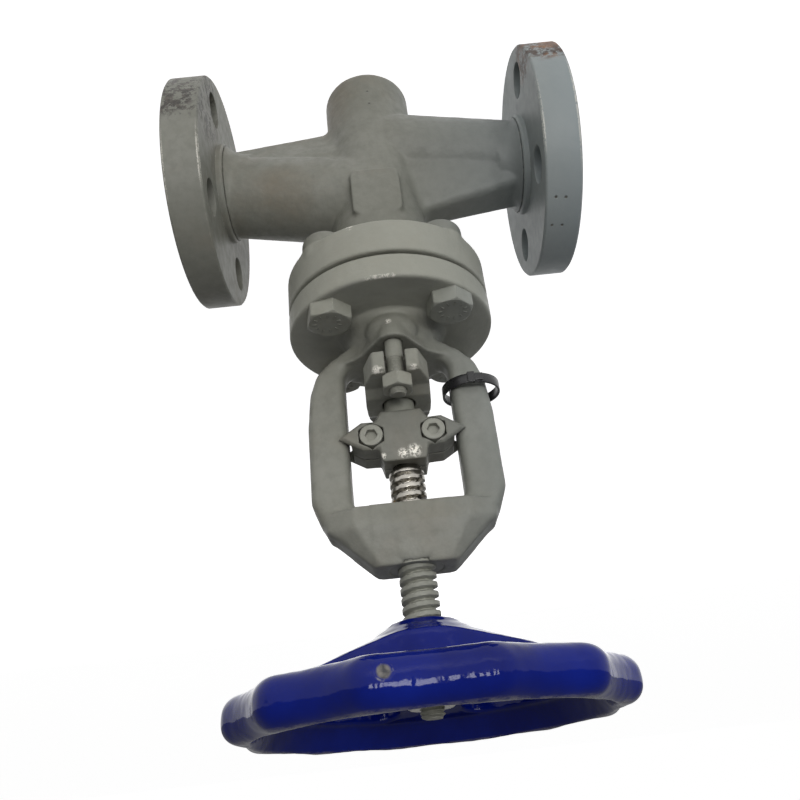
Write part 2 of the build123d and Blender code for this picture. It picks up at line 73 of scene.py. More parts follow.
# ---------------------------------------------------------------- camera and light
CAMERA_PLACE = (0.00377, -0.32317, 0.31644)
CAMERA_TURN = (-61.43, -5.56, 177.78)  # degrees about X, Y and Z: the valve is seen upside down
CAMERA_LENS = 34.85
SKY_LIGHT = 0.13
SKY_REFLECTED = 0.28
FLOOR_REACH = 6.0
FLOOR_COLOUR = (0.82, 0.82, 0.82)
FLOOR_BOUNCE = 0.17
FLOOR_SEEN = 0.87
LAMP_TARGET = (0, 0, 0.1)
WHITE = (1.0, 1.0, 1.0)
# name, place, (width, height), power in watts, colour: too broad to be shown in the gloss
SOFT_LAMPS = (
    ("key", (-0.34, -1.28, 0.03), (1.1, 1.1), 7.5, (1.0, 0.98, 0.94)),
    ("side_right", (-1.1, -0.9, 0.1), (0.7, 0.7), 2.0, (0.80, 0.91, 1.0)),
    ("back", (-0.1, 1.35, 0.3), (1.0, 1.0), 6.0, WHITE),
)
# a row of small lamps that the enamel mirrors as glints
GLINT_X = (-0.60, -0.30, -0.02, 0.24)
GLINT_Y, GLINT_Z = -1.15, 0.34
GLINT_SIZE = (0.14, 0.26)
GLINT_POWER = 1.5

# ---------------------------------------------------------------- sizes of what is made here
# A thread's shape is the share of its pitch that the root takes, and the share of the crest.
SPINDLE_FOOT_CHAMFER = 0.8 * MM
SPINDLE_FOOT_SHARE = 0.9  # radius at the chamfer's end, against the spindle's radius
SPINDLE_NECK = (5.3 * MM, 11.5 * MM)  # above the spindle's foot, where the coupling holds it
SPINDLE_NECK_SHARE = 0.69
SPINDLE_DOME_SHARE = 0.26  # how far the domed shoulder over the neck draws in
SPINDLE_THREAD_FROM = 15.0 * MM
SHOULDER = 0.01 * MM  # height of a square step
THREAD_PITCH = 4 * MM
THREAD_DEPTH = 2.0 * MM
THREAD_SHAPE = (0.16, 0.48)
THREAD_RUN_OUT = 0.5 * THREAD_PITCH
HUB_SEAT_STEP = 1 * MM
NUT_THREAD_LENGTH = 14.4 * MM
NUT_THREAD_RADIUS = 5 * MM
NUT_THREAD_PITCH = 1.5 * MM
NUT_THREAD_DEPTH = 0.7 * MM
NUT_THREAD_SHAPE = (0.2, 0.2)
NUT_THREAD_TAPER = 1.2 * MM
SPINDLE_STEPS = 72

STUD_SHANK = 20.5 * MM
STUD_PITCH = 1.25 * MM
STUD_DEPTH = 0.62 * MM
STUD_SHAPE = (0.2, 0.14)
STUD_TAPER = 0.9 * MM
STUD_STEPS = 40

STRAP_Z = 140.8 * MM
STRAP_Y = -0.5 * MM
STRAP_TILT = -3  # degrees about X
STRAP_RADII = (12.6 * MM, 13.2 * MM)
STRAP_THICK = 1.0 * MM
STRAP_WIDTH = 4.8 * MM
STRAP_STEPS = 120
BUCKLE_PLACE = (0.6 * MM, -14.3 * MM, 0.0)
BUCKLE = (3.4 * MM, 2.2 * MM, 5.2 * MM)
TAIL = (4.2 * MM, 0.9 * MM, 3.6 * MM)
TAIL_PLACE = (BUCKLE_PLACE[0] - 3.4 * MM, BUCKLE_PLACE[1] - 0.5 * BUCKLE[1] + 0.9 * MM, 0.0)

TICKS = 11
TICKS_INSET = 9.5 * MM  # from the bolts' outermost side to the middle of a ring of strokes
TICK_SPAN = (4.9, 6.7)  # mm from the ring's middle
TICK_HALF_WIDTH = 0.28  # mm
TICK_HEIGHTS = (-0.3, 0.22)  # mm below and above the head's face
TICK_CORNERS = [
    (TICK_SPAN[far], side * TICK_HALF_WIDTH, z)
    for z in TICK_HEIGHTS
    for far, side in ((0, -1), (1, -1), (1, 1), (0, 1))
]
TICK_FACES = [(3, 2, 1, 0), (4, 5, 6, 7), (0, 1, 5, 4), (1, 2, 6, 5), (2, 3, 7, 6), (3, 0, 4, 7)]

WHEEL_DIMPLE = (0.0145, -0.0768, 0.2761)
DIMPLE_RADIUS = 2.7 * MM
DIMPLE_DEPTH = 0.7 * MM
DIMPLE_STEEPNESS = 1.6
SMOOTHING = 0.5
EVEN_PASSES = 3
GRIND_PASSES = 40
# how much of a skin's unevenness is an even offset inward, long waves and short waves
SKIN_SHARES = (0.5, 0.35, 0.15)
SHORT_WAVE = 0.3  # against the long waves

# ---------------------------------------------------------------- colours
PAINT = (0.238, 0.240, 0.204)
PAINT_LIGHT = (0.285, 0.285, 0.252)
PAINT_DARK = (0.180, 0.180, 0.150)
PAINT_WARM = (0.200, 0.172, 0.128)
# painted light: the cool tint of the side light, laid on the paint towards the inlet
PAINT_COOL_LIGHT = (0.215, 0.247, 0.262)
# painted light: the lighter grey of the brightly lit band around the flanges
PAINT_LIT_BAND = (0.40, 0.40, 0.345)
PAINT_RUBBED = (0.52, 0.51, 0.46)
PUNCHED = (0.10, 0.10, 0.085)
STAIN = (0.155, 0.125, 0.085)
RUST = (0.20, 0.085, 0.03)
RUST_DARK = (0.06, 0.035, 0.025)
DARK_STEEL = (0.055, 0.05, 0.045)
DULL_STEEL = (0.11, 0.098, 0.085)
BRIGHT_STEEL = (0.74, 0.71, 0.64)
STEEL = (0.62, 0.60, 0.56)
SPINDLE_STEEL = (0.42, 0.40, 0.36)
ZINC = (0.72, 0.70, 0.62)
BRONZE = (0.48, 0.33, 0.14)
GREASE = (0.03, 0.026, 0.018)
ENAMEL_DEEP = (0.0010, 0.0050, 0.105)
ENAMEL_LIGHT = (0.0020, 0.0105, 0.18)
# partly chalky rubbing, partly painted highlight along the rim's top
ENAMEL_CHALK_AND_HIGHLIGHT = (0.30, 0.28, 0.29)
PIT_DARK = (0.05, 0.05, 0.055)
PIT_PALE = (0.17, 0.16, 0.15)
# painted highlight round the dimple's lip
PIT_LIP_HIGHLIGHT = (0.30, 0.29, 0.27)
NYLON = (0.008, 0.008, 0.009)
GRAPHITE = (0.02, 0.02, 0.022)

EDGE_ROUND = 1.1 * MM
DOT_RADIUS = 0.9 * MM
GLOSS_PAINT = 0.3
GLOSS_ENAMEL = 0.18

# ---------------------------------------------------------------- noise patterns
# scale per metre, detail, roughness
CLOUDS = (14, 3, 0.55)
GRIME = (30, 4, 0.6)
BLOTCHES = (55, 4, 0.65)
HAMMERED = (60, 4, 0.6)
RUST_CLOUDS = (90, 2, 0.55)
MOTTLE = (190, 5, 0.65)
FLAKES = (210, 7, 0.75)
RUBBING = (260, 4, 0.7)
RUST_SPECKS = (330, 6, 0.75)
MILL_SCALE = (420, 3, 0.6)
SCRATCHES = (620, 5, 0.75)
GRAIN = (1500, 3, 0.7)
ENAMEL_CLOUDS = (26, 3, 0.55)
ENAMEL_LUMPS = (110, 3, 0.5)
ENAMEL_STREAKS = (150, 5, 0.7)
# noise for the painted highlight round the dimple's lip
ENAMEL_LIP_HIGHLIGHT = (170, 3, 0.55)
ENAMEL_PIT = (300, 3, 0.55)
ENAMEL_GRAIN = (420, 4, 0.6)
METAL_RINGS = (40, 2, 0.5)
METAL_GREASE = (70, 5, 0.7)
METAL_TONE = (90, 4, 0.6)
METAL_GRAIN = (500, 3, 0.6)
PLASTIC_TONE = (80, 4, 0.55)
PLASTIC_GRAIN = (600, 4, 0.6)


# ---------------------------------------------------------------- material helpers
class Nodes:
    """A material's node tree, with short ways to add and join nodes."""

    def __init__(self, name):
        self.material = bpy.data.materials.new(name)
        self.material.use_nodes = True
        self.tree = self.material.node_tree
        self.shader = self.tree.nodes["Principled BSDF"]
        self.place = self.add("ShaderNodeTexCoord").outputs["Object"]

    def add(self, kind, **values):
        node = self.tree.nodes.new(kind)
        for key, value in values.items():
            setattr(node, key, value)
        return node

    def join(self, source, target):
        self.tree.links.new(source, target)

    def feed(self, socket, value):
        """Gives a socket a number, a colour or another node's output."""
        if isinstance(value, tuple):
            socket.default_value = (*value, 1)
        elif isinstance(value, (int, float)):
            socket.default_value = value
        else:
            self.join(value, socket)

    def noise(self, pattern, stretch=(1, 1, 1), offset=0.0):
        """pattern is (scale, detail, roughness)."""
        node = self.add("ShaderNodeTexNoise")
        for name, value in zip(("Scale", "Detail", "Roughness"), pattern):
            node.inputs[name].default_value = value
        mapping = self.add("ShaderNodeMapping")
        mapping.inputs["Scale"].default_value = stretch
        mapping.inputs["Location"].default_value = (offset, offset, offset)
        self.join(self.place, mapping.inputs["Vector"])
        self.join(mapping.outputs["Vector"], node.inputs["Vector"])
        return node.outputs["Fac"]

    def ramp(self, source, low, high, start=0.0, end=1.0):
        """Goes from start to end as the source goes from low to high."""
        node = self.add("ShaderNodeMapRange")
        node.inputs["From Min"].default_value = low
        node.inputs["From Max"].default_value = high
        node.inputs["To Min"].default_value = start
        node.inputs["To Max"].default_value = end
        self.join(source, node.inputs["Value"])
        return node.outputs["Result"]

    def math(self, operation, a, b):
        node = self.add("ShaderNodeMath", operation=operation)
        for socket, value in zip(node.inputs, (a, b)):
            self.feed(socket, value)
        return node.outputs[0]

    def times(self, a, b):
        return self.math("MULTIPLY", a, b)

    def mix(self, factor, a, b):
        node = self.add("ShaderNodeMix", data_type="RGBA")
        for number, value in ((0, factor), (6, a), (7, b)):  # its factor and two colour sockets
            self.feed(node.inputs[number], value)
        return node.outputs[2]

    def along(self):
        """The X, Y and Z of the place being shaded."""
        node = self.add("ShaderNodeSeparateXYZ")
        self.join(self.place, node.inputs[0])
        return node.outputs

    def near(self, point, reach, soft=0.5):
        """1 close to a point in space, fading to 0 at the given reach."""
        node = self.add("ShaderNodeVectorMath", operation="DISTANCE")
        self.join(self.place, node.inputs[0])
        node.inputs[1].default_value = point
        return self.ramp(node.outputs["Value"], reach * soft, reach, 1.0, 0.0)

    def most(self, masks):
        """The greatest of several masks, or None where there are none."""
        total = None
        for mask in masks:
            total = mask if total is None else self.math("MAXIMUM", total, mask)
        return total

    def edges(self, radius, gain=6.0):
        """1 along sharp edges, from the angle between the true and the rounded normal."""
        bevel = self.add("ShaderNodeBevel", samples=4)
        bevel.inputs["Radius"].default_value = radius
        geometry = self.add("ShaderNodeNewGeometry")
        dot = self.add("ShaderNodeVectorMath", operation="DOT_PRODUCT")
        self.join(bevel.outputs["Normal"], dot.inputs[0])
        self.join(geometry.outputs["Normal"], dot.inputs[1])
        return self.ramp(dot.outputs["Value"], 1.0, 1.0 - 1.0 / gain), bevel.outputs["Normal"]

    def bump(self, heights, normal=None):
        """Adds bumps one over another. heights is a list of (source, strength, depth)."""
        for source, strength, depth in heights:
            node = self.add("ShaderNodeBump")
            node.inputs["Strength"].default_value = strength
            node.inputs["Distance"].default_value = depth
            self.join(source, node.inputs["Height"])
            if normal is not None:
                self.join(normal, node.inputs["Normal"])
            normal = node.outputs["Normal"]
        self.join(normal, self.shader.inputs["Normal"])

    def set(self, **values):
        """Sets the shader's inputs, named with an underscore for each space."""
        for key, value in values.items():
            self.feed(self.shader.inputs[key.replace("_", " ")], value)


def toned(colour, tone):
    return tuple(tone * c for c in colour)


# ---------------------------------------------------------------- paint
def paint_ground(n, tone, fine, stains):
    """The paint's own colour with its clouds, stains, grime and mottling."""
    clouds = n.ramp(n.noise(CLOUDS), 0.3, 0.7)
    colour = n.mix(clouds, toned(PAINT_DARK, tone), toned(PAINT_LIGHT, tone))
    colour = n.mix(0.35, colour, toned(PAINT, tone))
    for point, reach in stains:
        blotch = n.ramp(n.noise(BLOTCHES), 0.38, 0.62, 0.2, 0.85)
        colour = n.mix(n.times(n.near(point, reach, 0.1), blotch), colour, STAIN)
    grime = n.ramp(n.noise(GRIME, offset=3.1), 0.52, 0.72, 0.0, 0.3)
    colour = n.mix(grime, colour, PAINT_WARM)
    return n.mix(n.ramp(fine, 0.4, 0.7, 0.0, 0.35), colour, toned(PAINT_DARK, 0.8 * tone))


def painted_light_bands(n, colour, tone, lit_band):
    """Painted light: a cooler grey towards the inlet for the cool light on that side, and a
    lighter grey between the heights of the lit band for the brighter light there.
    """
    along = n.along()
    # painted light: a cooler grey towards the inlet, where the cool side light falls
    cool_light = n.ramp(along["X"], -0.10, -0.01, 0.8, 0.0)
    colour = n.mix(cool_light, colour, toned(PAINT_COOL_LIGHT, tone))
    if lit_band:
        # painted light: a lighter grey between the heights given, where the light falls brighter
        above = n.ramp(along["Z"], lit_band[0] - 1.5 * MM, lit_band[0])
        below = n.ramp(along["Z"], lit_band[1], lit_band[1] + 3 * MM, 0.45, 0.0)
        colour = n.mix(n.times(above, below), colour, PAINT_LIT_BAND)
    return colour


def flaked_off(n, chips):
    """Where flakes of paint have come off, or None."""
    flakes = []
    for number, (point, reach, threshold) in enumerate(chips):
        pattern = n.noise(FLAKES, offset=0.37 * number + 0.1)
        speck = n.ramp(pattern, threshold, threshold + 0.02)
        flakes.append(n.times(n.near(point, reach, 0.75), speck))
    return n.most(flakes)


def rusted(n, colour, rust):
    """The colour with specks of rust in the zones given."""
    for number, (point, reach, threshold) in enumerate(rust):
        pattern = n.noise(RUST_SPECKS, offset=0.53 * number + 0.7)
        speck = n.ramp(pattern, threshold, threshold + 0.05)
        brown = n.mix(n.ramp(n.noise(RUST_CLOUDS), 0.45, 0.6), RUST_DARK, RUST)
        colour = n.mix(n.times(n.near(point, reach, 0.7), speck), colour, brown)
    return colour


def worn_bright(n, worn, sharp, edge):
    """Where the piece is rubbed to bright metal, or None. A sharp piece wears along its edges."""
    bright = n.most([n.near(point, reach, 0.4) for point, reach in worn])
    if bright is None:
        return None
    start = 0.43 if sharp else 0.47
    bright = n.times(bright, n.ramp(n.noise(SCRATCHES, offset=1.9), start, start + 0.04))
    return n.times(bright, n.ramp(edge, 0.02, 0.08)) if sharp else bright


def paint_material(
    name, forged=0.0, tone=1.0, lit_band=None, chips=(), rust=(), worn=(), dots=(), stains=(),
    edge_wear=0.35, sharp=True,
):
    """Satin grey-green shop paint. forged adds the coarse skin of a forging under it.

    The heights (low, high) given for the lit band are where the paint is lighter: painted light,
    for the brighter light on the flanges. tone scales the paint's lightness: the coupling's low
    tone is painted shade, and the inlet flange's high tone is painted light. chips and rust are
    (point, reach, threshold) zones where the paint has come off or rust shows through, worn is
    (point, reach) zones rubbed to bright metal, only along the edges where the piece is sharp,
    dots are the places of small punch marks, and stains are brownish (point, reach) zones.
    """
    n = Nodes(name)
    fine = n.noise(MOTTLE)
    colour = painted_light_bands(n, paint_ground(n, tone, fine, stains), tone, lit_band)
    edge, rounded = n.edges(EDGE_ROUND)
    rubbing = n.ramp(n.noise(RUBBING), 0.52, 0.66, 0.0, edge_wear)
    colour = n.mix(n.times(edge, rubbing), colour, PAINT_RUBBED)
    bare = flaked_off(n, chips)
    if bare is not None:
        metal = n.mix(n.ramp(n.noise(MILL_SCALE), 0.46, 0.66), DARK_STEEL, DULL_STEEL)
        colour = n.mix(bare, colour, metal)
    colour = rusted(n, colour, rust)
    bright = worn_bright(n, worn, sharp, edge)
    if bright is not None:
        colour = n.mix(bright, colour, BRIGHT_STEEL)
        n.set(Metallic=n.times(bright, 0.25))
    heights = [(n.noise(GRAIN), 0.25, 0.08 * MM)]
    punched = n.most([n.near(point, DOT_RADIUS) for point in dots])
    if punched is not None:
        colour = n.mix(punched, colour, PUNCHED)
        heights.append((n.math("SUBTRACT", 1.0, punched), 0.8, 0.5 * MM))
    if bare is not None:
        heights.append((n.math("SUBTRACT", 1.0, bare), 0.6, 0.25 * MM))
    if forged:
        heights.append((fine, 0.5 * forged, 0.5 * MM))
        heights.append((n.noise(HAMMERED), 0.6 * forged, 1.2 * MM))
    dulled = n.ramp(fine, 0.3, 0.7, 0.42, 0.58)
    n.set(Base_Color=colour, Roughness=dulled, Specular_IOR_Level=GLOSS_PAINT)
    n.bump(heights, rounded)
    return n.material


# ---------------------------------------------------------------- other materials
def enamel_material():
    """Thick gloss blue enamel over a rough casting, rubbed chalky along the top of the rim, where
    a painted highlight is laid in the same pale band.
    """
    n = Nodes("blue_enamel")
    fine = n.noise(ENAMEL_GRAIN)
    colour = n.mix(n.ramp(n.noise(ENAMEL_CLOUDS), 0.35, 0.7), ENAMEL_DEEP, ENAMEL_LIGHT)
    # partly rubbed chalk, partly painted highlight: a pale streaky band along the top of the rim
    top = n.ramp(n.along()["Z"], wheel_high[2] - 1.4 * MM, wheel_high[2] - 0.3 * MM)
    streaks = n.ramp(n.noise(ENAMEL_STREAKS, stretch=(1, 1, 4)), 0.42, 0.6, 0.0, 0.75)
    rubbed_and_highlight = n.times(top, streaks)
    colour = n.mix(rubbed_and_highlight, colour, ENAMEL_CHALK_AND_HIGHLIGHT)
    pit = n.near(WHEEL_DIMPLE, DIMPLE_RADIUS, 0.7)
    colour = n.mix(pit, colour, n.mix(n.ramp(n.noise(ENAMEL_PIT), 0.4, 0.6), PIT_DARK, PIT_PALE))
    # painted highlight: a pale broken ring round the dimple's lip
    lip_highlight = n.math("SUBTRACT", n.near(WHEEL_DIMPLE, 1.25 * DIMPLE_RADIUS, 0.85), pit)
    colour = n.mix(n.times(lip_highlight, n.ramp(n.noise(ENAMEL_LIP_HIGHLIGHT), 0.5, 0.6)), colour, PIT_LIP_HIGHLIGHT)
    n.set(
        Base_Color=colour,
        Roughness=n.math("ADD", n.ramp(fine, 0.35, 0.7, 0.05, 0.11), n.times(rubbed_and_highlight, 0.4)),
        Specular_IOR_Level=GLOSS_ENAMEL,
    )
    n.bump([(n.noise(ENAMEL_LUMPS), 0.35, 0.8 * MM), (fine, 0.08, 0.15 * MM)])
    return n.material


def steel_material(name, colour, roughness, turned=0.0):
    """Bare metal. turned adds fine rings about Z."""
    n = Nodes(name)
    tone = n.noise(METAL_TONE)
    shade = n.mix(n.ramp(tone, 0.35, 0.7, 0.0, 0.35), colour, toned(colour, 0.6))
    dulled = n.ramp(tone, 0.3, 0.7, roughness * 0.8, roughness * 1.3)
    n.set(Base_Color=shade, Metallic=1.0, Roughness=dulled)
    heights = [(n.noise(METAL_GRAIN), 0.2, 0.05 * MM)]
    if turned:
        heights.append((n.noise(METAL_RINGS, stretch=(1, 1, 90)), turned, 0.05 * MM))
    n.bump(heights)
    return n.material


def half_painted_metal(name, metal, split, grease=0.0):
    """Bare metal below the height given, and grey paint above it. grease darkens it in patches."""
    n = Nodes(name)
    tone = n.noise(METAL_TONE)
    bare = n.mix(n.ramp(tone, 0.35, 0.7), metal, toned(metal, 0.65))
    bare = n.mix(n.ramp(n.noise(METAL_GREASE), 0.5, 0.62, 0.0, grease), bare, GREASE)
    paint = n.mix(n.ramp(n.noise(MOTTLE), 0.35, 0.75), PAINT, PAINT_DARK)
    painted = n.ramp(n.along()["Z"], split - 0.5 * MM, split + 0.5 * MM)
    n.set(
        Base_Color=n.mix(painted, bare, paint),
        Metallic=n.math("SUBTRACT", 1.0, painted),
        Roughness=n.math("ADD", n.ramp(tone, 0.3, 0.7, 0.2, 0.34), n.times(painted, 0.24)),
    )
    n.bump([(n.noise(METAL_GRAIN), 0.2, 0.05 * MM)])
    return n.material


def plain_material(name, colour, roughness):
    """Moulded plastic or graphite, a little uneven in tone and gloss."""
    n = Nodes(name)
    fine = n.noise(PLASTIC_GRAIN)
    shade = n.mix(n.ramp(n.noise(PLASTIC_TONE), 0.35, 0.7, 0.0, 0.4), colour, toned(colour, 1.6))
    n.set(Base_Color=shade, Roughness=n.ramp(fine, 0.3, 0.7, roughness * 0.8, roughness * 1.2))
    n.bump([(fine, 0.25, 0.06 * MM)])
    return n.material


# ---------------------------------------------------------------- mesh helpers
def placed(name, data):
    """A new object in the scene that carries the given mesh, camera or lamp."""
    item = bpy.data.objects.new(name, data)
    bpy.context.scene.collection.objects.link(item)
    return item


def mesh_object(name, vertices, faces, material, smooth=True):
    mesh = bpy.data.meshes.new(name)
    mesh.from_pydata(vertices, [], faces)
    mesh.validate()
    mesh.materials.append(material)
    if smooth:
        mesh.shade_smooth()
    return placed(name, mesh)


def grown_mesh(name, form):
    """The mesh of a bmesh form, which is freed."""
    mesh = bpy.data.meshes.new(name)
    form.to_mesh(mesh)
    form.free()
    return mesh


def made_real(piece):
    """The object with its modifiers applied, in place of the one given."""
    name = piece.name
    graph = bpy.context.evaluated_depsgraph_get()
    mesh = bpy.data.meshes.new_from_object(piece.evaluated_get(graph))
    bpy.data.objects.remove(piece, do_unlink=True)
    return placed(name, mesh)


def smooth_out(piece, name, passes, where=None):
    """Adds a smoothing modifier, over the points that where(point) picks or over all of them."""
    step = piece.modifiers.new(name, "SMOOTH")
    step.factor = SMOOTHING
    step.iterations = passes
    if where:
        zone = piece.vertex_groups.new(name=name)
        zone.add([v.index for v in piece.data.vertices if where(v.co)], 1.0, "REPLACE")
        step.vertex_group = zone.name


def round_edges(piece, width, segments):
    bevel = piece.modifiers.new("round", "BEVEL")
    bevel.width = width
    bevel.segments = segments


def turned_surface(rows, steps, radius_at, y=0.0):
    """A closed round surface. radius_at(angle, height) gives the radius on each row of heights."""
    vertices, faces = [], []
    for z in rows:
        for k in range(steps):
            angle = 2 * math.pi * k / steps
            r = radius_at(angle, z)
            vertices.append((r * math.cos(angle), y + r * math.sin(angle), z))
    for row in range(len(rows) - 1):
        for k in range(steps):
            a, b = row * steps + k, row * steps + (k + 1) % steps
            faces.append((a, b, b + steps, a + steps))
    faces.append(tuple(reversed(range(steps))))
    top = (len(rows) - 1) * steps
    faces.append(tuple(range(top, top + steps)))
    return vertices, faces


def thread_cut(angle, z, pitch, depth, shape):
    """Depth of a right-hand thread's groove at a point: 0 on the crest, depth in the root."""
    root, crest = shape
    phase = (z / pitch - angle / (2 * math.pi)) % 1.0
    flank = (1.0 - root - crest) / 2
    if phase < crest:
        return 0.0
    if phase < crest + flank:
        return depth * (phase - crest) / flank
    if phase < crest + flank + root:
        return depth
    return depth * (1.0 - phase) / flank


def spans(*marks):
    """Row heights: marks is a list of (height, rows up to the next mark)."""
    rows = []
    for (z0, count), (z1, _) in zip(marks, marks[1:]):
        rows += [z0 + (z1 - z0) * k / count for k in range(count)]
    return rows + [marks[-1][0]]


def rim_point(x, radius, z):
    """The point on the near side of a round rim at the given x."""
    return (x, -math.sqrt(radius * radius - x * x), z)


# ---------------------------------------------------------------- pieces made here
def cast_skin(
    node, body, material, voxel, passes, rough, wavelength, is_rough=lambda p: True,
    dimple=None, swells=(), corners=None,
):
    """A forged or cast node with its joins blended and its skin uneven, in place of the CAD solid.

    passes says how far the joins blend, rough is the depth of the unevenness, and is_rough(point)
    says where both apply: machined faces stay as they are. dimple is (point, radius, depth), and
    swells are (centre, radii) of egg-shaped swellings that the remesh joins on. corners(point)
    says where corners are ground well round.
    """
    form = bmesh.new()
    form.from_mesh(nodes[node].data)
    for centre, radii in swells:
        place = Matrix.Translation(centre) @ Matrix.Diagonal((*radii, 1.0))
        bmesh.ops.create_icosphere(form, subdivisions=4, radius=1.0, matrix=place)
    piece = placed(node + "_skin", grown_mesh(node, form))
    remesh = piece.modifiers.new("remesh", "REMESH")
    remesh.mode = "VOXEL"
    remesh.voxel_size = voxel
    piece = made_real(piece)
    smooth_out(piece, "even", EVEN_PASSES)
    smooth_out(piece, "blend", passes, is_rough)
    if corners:
        smooth_out(piece, "grind", GRIND_PASSES, corners)
    piece = made_real(piece)
    mesh = piece.data
    inward = [-v.normal for v in mesh.vertices]
    even, long, short = SKIN_SHARES
    for vertex, direction in zip(mesh.vertices, inward):
        place = vertex.co.copy()
        if is_rough(place):
            waves = long * noise.noise(place / wavelength)
            ripples = short * noise.noise(place / (SHORT_WAVE * wavelength))
            vertex.co += direction * rough * (even + waves + ripples)
        if dimple:
            point, radius, depth = dimple
            nearness = 1.0 - (place - Vector(point)).length / radius
            if nearness > 0.0:
                vertex.co += direction * depth * math.sqrt(min(1.0, DIMPLE_STEEPNESS * nearness))
    mesh.materials.clear()
    mesh.materials.append(material)
    mesh.shade_smooth()
    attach(piece, body)
    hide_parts(node)


def threaded_spindle(steel):
    """The spindle with its trapezoidal thread, in place of the plain CAD bar."""
    low, high = spindle_low[2], spindle_high[2]
    neck_low, neck_high = low + SPINDLE_NECK[0], low + SPINDLE_NECK[1]
    thread_low = low + SPINDLE_THREAD_FROM
    hub_seat = wheel_low[2]
    nut_thread_low = high - NUT_THREAD_LENGTH
    rows = spans(
        (low, 1),
        (low + SPINDLE_FOOT_CHAMFER, 2),
        (neck_low, 1),
        (neck_low + SHOULDER, 2),
        (neck_high, 8),
        (thread_low, 190),
        (hub_seat - 0.4 * MM, 1),
        (hub_seat, 1),
        (hub_seat + SHOULDER, 1),
        (nut_thread_low - 0.2 * MM, 1),
        (nut_thread_low + 0.2 * MM, 50),
        (high - NUT_THREAD_TAPER, 2),
        (high, 0),
    )

    def radius_at(angle, z):
        if z <= low + SHOULDER:
            return SPINDLE_FOOT_SHARE * spindle_radius
        if z <= neck_low:
            return spindle_radius
        if z < neck_high:
            return SPINDLE_NECK_SHARE * spindle_radius
        if z < thread_low:
            dome = (thread_low - z) / (thread_low - neck_high)
            return spindle_radius * (1.0 - SPINDLE_DOME_SHARE * dome * dome)
        if z < hub_seat - 0.1 * MM:
            fade = min(1.0, (z - thread_low) / THREAD_RUN_OUT)
            cut = thread_cut(angle, z, THREAD_PITCH, THREAD_DEPTH, THREAD_SHAPE)
            return spindle_radius - fade * cut
        if z <= nut_thread_low:
            return spindle_radius - HUB_SEAT_STEP
        taper = max(0.0, z - (high - NUT_THREAD_TAPER))
        cut = thread_cut(angle, z, NUT_THREAD_PITCH, NUT_THREAD_DEPTH, NUT_THREAD_SHAPE)
        return NUT_THREAD_RADIUS - taper - cut

    vertices, faces = turned_surface(rows, SPINDLE_STEPS, radius_at)
    piece = mesh_object("spindle_thread", vertices, faces, steel)
    piece.data.set_sharp_from_angle(angle=math.radians(40))
    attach(piece, "spindle")
    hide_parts("spindle")


def threaded_studs(paint):
    """Gland studs with a plain shank below and a fine thread above."""
    low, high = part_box("gland_studs")
    radius = high[0]
    thread_low = low[2] + STUD_SHANK
    rows = spans(
        (low[2], 4),
        (thread_low - 0.6 * MM, 2),
        (thread_low, 150),
        (high[2] - 0.8 * MM, 4),
        (high[2], 0),
    )

    def radius_at(angle, z):
        if z < thread_low:
            return radius
        taper = max(0.0, z - (high[2] - STUD_TAPER))
        fade = min(1.0, (z - thread_low) / STUD_PITCH)
        return radius - taper - fade * thread_cut(angle, z, STUD_PITCH, STUD_DEPTH, STUD_SHAPE)

    for name, side in (("gland_stud_thread_front", -1), ("gland_stud_thread_back", 1)):
        vertices, faces = turned_surface(rows, STUD_STEPS, radius_at, side * (high[1] - radius))
        piece = mesh_object(name, vertices, faces, paint)
        piece.data.set_sharp_from_angle(angle=math.radians(45))
        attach(piece, "root")
        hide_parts("gland_studs")


def bolt_head_ticks(paint):
    """The ring of short raised strokes on the end of each bonnet bolt's head."""
    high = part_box("bonnet_bolts")[1]
    centre = high[0] - TICKS_INSET
    vertices, faces = [], []
    for sx in (-1, 1):
        for sy in (-1, 1):
            ring = Matrix.Translation((sx * centre, sy * centre, high[2]))
            for k in range(TICKS):
                place = ring @ Matrix.Rotation(2 * math.pi * k / TICKS, 4, "Z")
                first = len(vertices)
                vertices += [place @ (MM * Vector(corner)) for corner in TICK_CORNERS]
                faces += [tuple(first + i for i in face) for face in TICK_FACES]
    piece = mesh_object("bolt_head_ticks", vertices, faces, paint, smooth=False)
    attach(piece, "root")


def strap(nylon):
    """The black cable tie: a thin flat band, its low buckle and its cut tail."""
    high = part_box("cable_tie")[1]
    centre = Vector((high[0] - STRAP_RADII[0] - STRAP_THICK, STRAP_Y, STRAP_Z))
    place = Matrix.Translation(centre) @ Matrix.Rotation(math.radians(STRAP_TILT), 4, "X")
    vertices, faces = [], []
    for k in range(STRAP_STEPS):
        angle = 2 * math.pi * k / STRAP_STEPS
        for r, z in ((STRAP_THICK, -0.5), (STRAP_THICK, 0.5), (0.0, 0.5), (0.0, -0.5)):
            x = (STRAP_RADII[0] + r) * math.cos(angle)
            y = (STRAP_RADII[1] + r) * math.sin(angle)
            vertices.append(place @ Vector((x, y, z * STRAP_WIDTH)))
    for k in range(STRAP_STEPS):
        a, b = 4 * k, 4 * ((k + 1) % STRAP_STEPS)
        for j in range(4):
            faces.append((a + j, b + j, b + (j + 1) % 4, a + (j + 1) % 4))
    band = mesh_object("cable_tie_band", vertices, faces, nylon)
    round_edges(band, 0.2 * MM, 2)
    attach(band, "root")
    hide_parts("cable_tie")

    for name, middle, size in (
        ("cable_tie_buckle", BUCKLE_PLACE, BUCKLE),
        ("cable_tie_tail", TAIL_PLACE, TAIL),
    ):
        block = bmesh.new()
        bmesh.ops.create_cube(block, size=1.0)
        for v in block.verts:
            v.co = place @ (Vector(middle) + v.co * Vector(size))
        mesh = grown_mesh(name, block)
        mesh.materials.append(nylon)
        piece = placed(name, mesh)
        round_edges(piece, 0.3 * MM, 3)
        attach(piece, "root")
        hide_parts("cable_tie")


